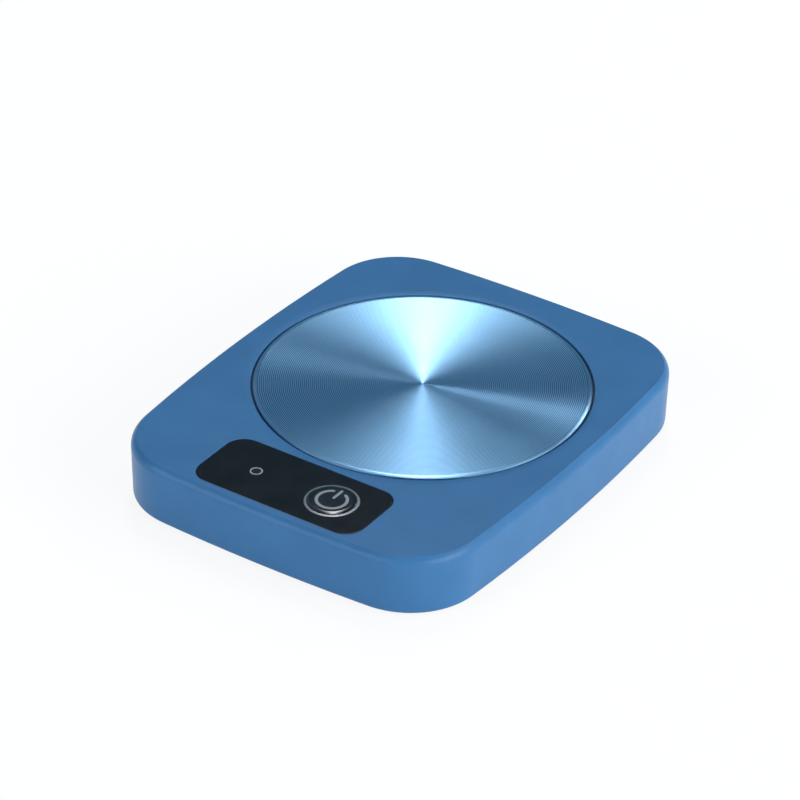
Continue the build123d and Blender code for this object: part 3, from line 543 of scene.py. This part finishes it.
# ---------------------------------------------------------------------------------------------------------
# Heater stack under the plate: mica heater, ceramic-fibre pad, pressed steel clamp, the bimetal cutout
# in its strap and the temperature sensor.
mica_board = moulded_plastic("mica_board", (0.33, 0.27, 0.18), 0.6, grain=0.8, depth=0.02, blotch=0.18)
dress("heater_element", mica_board)
dress("insulation_pad", soft_rubber("ceramic_felt", (0.74, 0.72, 0.66), 0.9))
rolled_steel = plated_metal("clamp_rolled_steel", (0.48, 0.48, 0.47), 0.38)
dress("clamp_plate", rolled_steel)
dress("cutout_clip", rolled_steel)
dress("thermal_cutout", socket_steel)
tinned_brass = plated_metal("tinned_metal", (0.58, 0.58, 0.56), 0.3)
dress("temperature_sensor", tinned_brass)


# ---------------------------------------------------------------------------------------------------------
# Control board. Glass-epoxy with green solder resist, hung from four posts of the cover. It carries the
# snap switch, whose steel dome flattens under the button, the lamp, the chips and the connectors, and the
# silicone leads plug into it. A small board of the same kind holds the socket.
board_green = glossy_plastic("board_solder_resist", (0.010, 0.085, 0.030), 0.34)
dress("control_board", board_green)
dress("socket_board", board_green)
for part in ("switch_base", "switch_plunger", "controller_chip", "power_transistor"):
    dress(part, tongue_black)
for part in ("switch_terminals", "small_chip_parts"):
    dress(part, tinned_brass)
dress("switch_cover", socket_steel)
snap_dome = merged_solid("switch_dome", "snap_dome")
fit(snap_dome, "case", "nickel_steel", socket_steel, "switch_dome")
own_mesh(snap_dome)
dress("bulk_capacitor", plated_metal("capacitor_can_aluminium", (0.62, 0.63, 0.65), 0.3))
dress("indicator_led", glossy_plastic("lamp_resin_clear", (0.80, 0.76, 0.50), 0.15))
dress("panel_adhesive", soft_rubber("adhesive_black", (0.015, 0.015, 0.015), 0.8))
nylon_white = moulded_plastic("connector_nylon_white", (0.76, 0.74, 0.66), 0.45, grain=0.3, depth=0.01)
for part in ("heater", "sensor", "power"):
    dress(part + "_connector", nylon_white)
    dress(part + "_plug", nylon_white)
lead_red = soft_rubber("lead_silicone_red", (0.48, 0.02, 0.015), 0.5)
for part in ("heater_leads", "sensor_leads", "power_leads"):
    dress(part, lead_red)


# ---------------------------------------------------------------------------------------------------------
# Studio: a white table a hair below the feet, dim bluish surroundings, and soft lamps. The narrow ones
# overhead and behind draw the bright wedges on the plate, and the broad ones at the sides light the
# cover. Its measures are in metres.
table_reach, table_height = 6.0, -0.00002
table_tone, table_glow = 0.95, 0.88
low_sky, low_sky_height = (0.08, 0.24, 0.26, 1), 0.10
high_sky, high_sky_height = (0.016, 0.095, 0.170, 1), 0.34

ends = ((-1, -1), (1, -1), (1, 1), (-1, 1))
corners = [(x * table_reach, y * table_reach, table_height) for x, y in ends]
table_mesh = bpy.data.meshes.new("table")
table_mesh.from_pydata(corners, [], [(0, 1, 2, 3)])
table = bpy.data.objects.new("table", table_mesh)
bpy.context.scene.collection.objects.link(table)
table_white, table_nodes, table_links, table_shader = new_material("table_white")
table_shader.inputs["Base Color"].default_value = (table_tone, table_tone, table_tone, 1)
table_shader.inputs["Roughness"].default_value = 0.9
table_shader.inputs["Specular IOR Level"].default_value = 0.0
rays = table_nodes.new("ShaderNodeLightPath").outputs
seen = maths(table_nodes, table_links, "MAXIMUM", rays["Is Camera Ray"], rays["Is Glossy Ray"])
seen = maths(table_nodes, table_links, "MAXIMUM", seen, rays["Is Transmission Ray"])
bright = table_nodes.new("ShaderNodeEmission")
bright.inputs["Strength"].default_value = 1.0
lift = table_nodes.new("ShaderNodeMixShader")
table_links.new(maths(table_nodes, table_links, "MULTIPLY", seen, table_glow), lift.inputs[0])
table_links.new(table_shader.outputs[0], lift.inputs[1])
table_links.new(bright.outputs[0], lift.inputs[2])
table_links.new(lift.outputs[0], table_nodes["Material Output"].inputs["Surface"])
table_mesh.materials.append(table_white)

world = bpy.data.worlds.new("studio")
bpy.context.scene.world = world
world.use_nodes = True
sky, sky_links = world.node_tree.nodes, world.node_tree.links
direction = sky.new("ShaderNodeSeparateXYZ")
sky_links.new(sky.new("ShaderNodeTexCoord").outputs["Generated"], direction.inputs[0])
fade = sky.new("ShaderNodeValToRGB")
lowest, highest = fade.color_ramp.elements
lowest.position, lowest.color = low_sky_height, low_sky
highest.position, highest.color = high_sky_height, high_sky
sky_links.new(direction.outputs["Z"], fade.inputs["Fac"])
sky_links.new(fade.outputs["Color"], sky["Background"].inputs["Color"])
sky["Background"].inputs["Strength"].default_value = 1.0

subject = Vector((0, 0, 0.01))


def soft_lamp(name, azimuth, elevation, distance, width, height, level):
    """A rectangular soft box, its azimuth from +X towards +Y.

    level is how bright it alone makes a white surface that faces it.
    """
    lamp = bpy.data.lights.new(name, "AREA")
    lamp.shape = "RECTANGLE"
    lamp.size = width
    lamp.size_y = height
    lamp.energy = level * (pi * distance) ** 2
    a, e = radians(azimuth), radians(elevation)
    towards = Vector((cos(a) * cos(e), sin(a) * cos(e), sin(e)))
    placed = bpy.data.objects.new(name, lamp)
    placed.location = subject + towards * distance
    placed.rotation_mode = "QUATERNION"
    placed.rotation_quaternion = towards.to_track_quat("Z", "Y")
    bpy.context.scene.collection.objects.link(placed)


soft_lamp("overhead_core", 123.2, 60.0, 1.5, 0.16, 0.86, 0.207)
soft_lamp("overhead_strip", 123.2, 60.0, 1.5, 0.40, 0.86, 0.114)
soft_lamp("overhead_glow", 10.0, 80.0, 1.5, 0.25, 0.25, 0.026)
soft_lamp("left_strip", 150.0, 37.0, 1.5, 0.35, 1.0, 0.013)
soft_lamp("right_side", -5.0, 17.0, 3.0, 2.6, 1.6, 1.05)
soft_lamp("right_high", 20.0, 30.0, 3.0, 2.0, 1.6, 0.34)
soft_lamp("back_right", 86.0, 32.0, 3.0, 0.5, 0.5, 0.095)
soft_lamp("back_far_right", 62.0, 34.0, 3.0, 0.8, 0.8, 0.060)
soft_lamp("front_left", 245.0, 20.0, 3.0, 3.2, 1.8, 0.72)


# ---------------------------------------------------------------------------------------------------------
# Camera: a long lens from the front right, about a third of the way from level to straight down, and
# rolled by about a degree. Distances are in metres and the aim is in millimetres.
camera_turn, camera_rise, camera_roll = 33.24, 32.66, 1.15
camera_distance, focal_pixels, frame_pixels, sensor = 1.11717, 4088.16, 800, 36.0
aim = Vector((-7.66, 9.55, 10.0)) * MM
turn, rise = radians(camera_turn), radians(camera_rise)
back = Vector((sin(turn) * cos(rise), -cos(turn) * cos(rise), sin(rise)))
right = Vector((cos(turn), sin(turn), 0))
up = back.cross(right)
roll = radians(camera_roll)
rolled_right = right * cos(roll) + up * sin(roll)
rolled_up = up * cos(roll) - right * sin(roll)
lens = bpy.data.cameras.new("camera")
lens.sensor_width = sensor
lens.lens = focal_pixels / frame_pixels * sensor
lens.clip_start, lens.clip_end = 0.05, 30
camera = bpy.data.objects.new("camera", lens)
place = aim + back * camera_distance
camera.matrix_world = Matrix((
    (rolled_right.x, rolled_up.x, back.x, place.x),
    (rolled_right.y, rolled_up.y, back.y, place.y),
    (rolled_right.z, rolled_up.z, back.z, place.z),
    (0, 0, 0, 1),
))
bpy.context.scene.collection.objects.link(camera)
bpy.context.scene.camera = camera
bpy.context.scene.view_settings.view_transform = "Standard"
